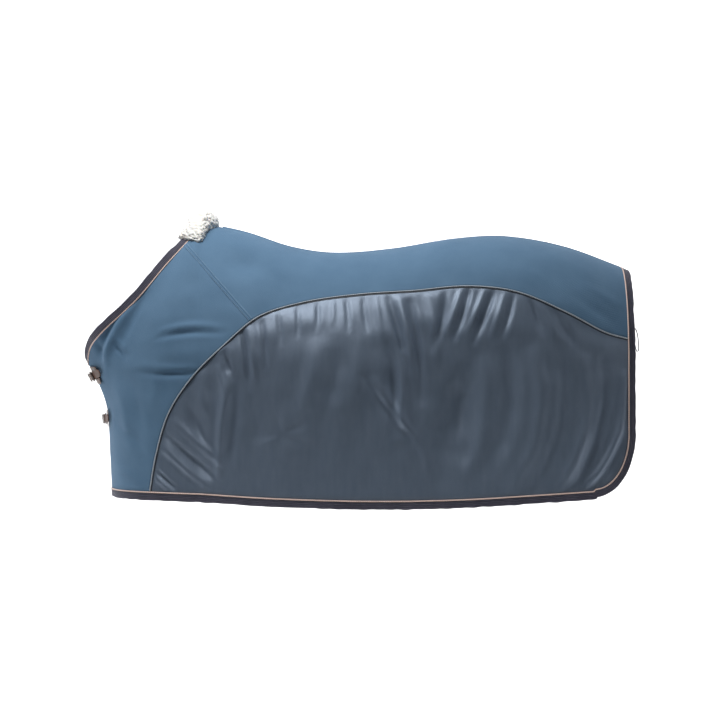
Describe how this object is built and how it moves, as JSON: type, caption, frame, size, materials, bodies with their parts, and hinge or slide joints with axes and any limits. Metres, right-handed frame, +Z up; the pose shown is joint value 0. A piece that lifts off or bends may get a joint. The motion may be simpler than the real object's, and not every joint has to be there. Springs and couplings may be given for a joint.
{
  "type": "horse rug",
  "caption": "Body rug for a horse in its worn shape: jersey back and shoulders, net sides, bound edges, fleece withers pad, buckled chest straps and crossed surcingles.",
  "frame": {"origin": "middle of the cloth at the topline seam, at the lowest point of the back, where the rug rests on the horse", "axes": "+X towards the tail, +Z up, so the horse faces -X and its left side is at -Y"},
  "size_m": [1.7983, 0.6314, 0.948],
  "materials": {
    "jersey": "matte brushed knit, dusty blue",
    "mesh": "satin woven net, half see-through, blue grey",
    "binding": "ribbed polyester tape, navy purple",
    "rose": "satin piping, rose",
    "silver": "satin piping, silver grey",
    "fleece": "curly fleece pile, cream white",
    "leather": "oiled brown leather, stitched",
    "metal": "polished nickel plate",
    "webbing": "woven polypropylene webbing, dark navy"
  },
  "bodies": {
    "root": {"back_panel_left": "jersey", "shoulder_panel_left": "jersey", "mesh_panel_left": "mesh", "back_panel_right": "jersey", "shoulder_panel_right": "jersey", "mesh_panel_right": "mesh", "neck_binding": "binding", "neck_piping": "rose", "hem_binding_left": "binding", "hem_piping_left": "rose", "front_binding_left": "binding", "front_piping_left": "rose", "arch_piping_left": "silver", "hem_binding_right": "binding", "hem_piping_right": "rose", "front_binding_right": "binding", "front_piping_right": "rose", "arch_piping_right": "silver", "shoulder_seam_tape_left": "binding", "shoulder_seam_tape_right": "binding", "topline_tape": "binding", "topline_piping": "jersey", "withers_fleece_pad": "fleece", "tail_cord_loop_left": "binding", "tail_cord_loop_right": "binding", "buckle_chape_upper": "leather", "billet_upper": "leather", "billet_keeper_upper": "leather", "buckle_frame_upper": "metal", "left_chest_patch_upper": "leather", "right_chest_patch_upper": "leather", "buckle_chape_lower": "leather", "billet_lower": "leather", "billet_keeper_lower": "leather", "buckle_frame_lower": "metal", "left_chest_patch_lower": "leather", "right_chest_patch_lower": "leather", "surcingle_patch_front_left": "webbing", "surcingle_patch_front_right": "webbing", "surcingle_tab_front": "webbing", "surcingle_slot_plate_front": "metal", "surcingle_hook_front": "metal", "surcingle_front": "webbing", "surcingle_patch_rear_left": "webbing", "surcingle_patch_rear_right": "webbing", "surcingle_tab_rear": "webbing", "surcingle_slot_plate_rear": "metal", "surcingle_hook_rear": "metal", "surcingle_rear": "webbing"},
    "roller_upper": {"buckle_roller_upper": "metal"},
    "prong_upper": {"buckle_prong_upper": "metal"},
    "roller_lower": {"buckle_roller_lower": "metal"},
    "prong_lower": {"buckle_prong_lower": "metal"},
    "slide_front": {"surcingle_slide_front": "metal"},
    "slide_rear": {"surcingle_slide_rear": "metal"}
  },
  "joints": [
    {"name": "prong_upper_lift", "type": "hinge", "parent": "root", "child": "prong_upper", "pos_m": [-0.79565, -0.02219, -0.40258], "axis": [-0.4533, -0.0444, 0.8902], "range_deg": [0, 80]},
    {"name": "roller_upper_turn", "type": "hinge", "parent": "root", "child": "roller_upper", "pos_m": [-0.80682, 0.00284, -0.40702], "axis": [-0.4533, -0.0444, 0.8902], "continuous": true},
    {"name": "prong_lower_lift", "type": "hinge", "parent": "root", "child": "prong_lower", "pos_m": [-0.75015, -0.02119, -0.54026], "axis": [-0.0873, -0.0011, 0.9962], "range_deg": [0, 80]},
    {"name": "roller_lower_turn", "type": "hinge", "parent": "root", "child": "roller_lower", "pos_m": [-0.7602, 0.00469, -0.54111], "axis": [-0.0873, -0.0011, 0.9962], "continuous": true},
    {"name": "slide_front_travel", "type": "slide", "parent": "root", "child": "slide_front", "axis": [-0.0008, -0.0102, -0.9999], "range_m": [-0.005, 0.018]},
    {"name": "slide_rear_travel", "type": "slide", "parent": "root", "child": "slide_rear", "axis": [0.0004, -0.0097, -1], "range_m": [-0.005, 0.018]}
  ]
}
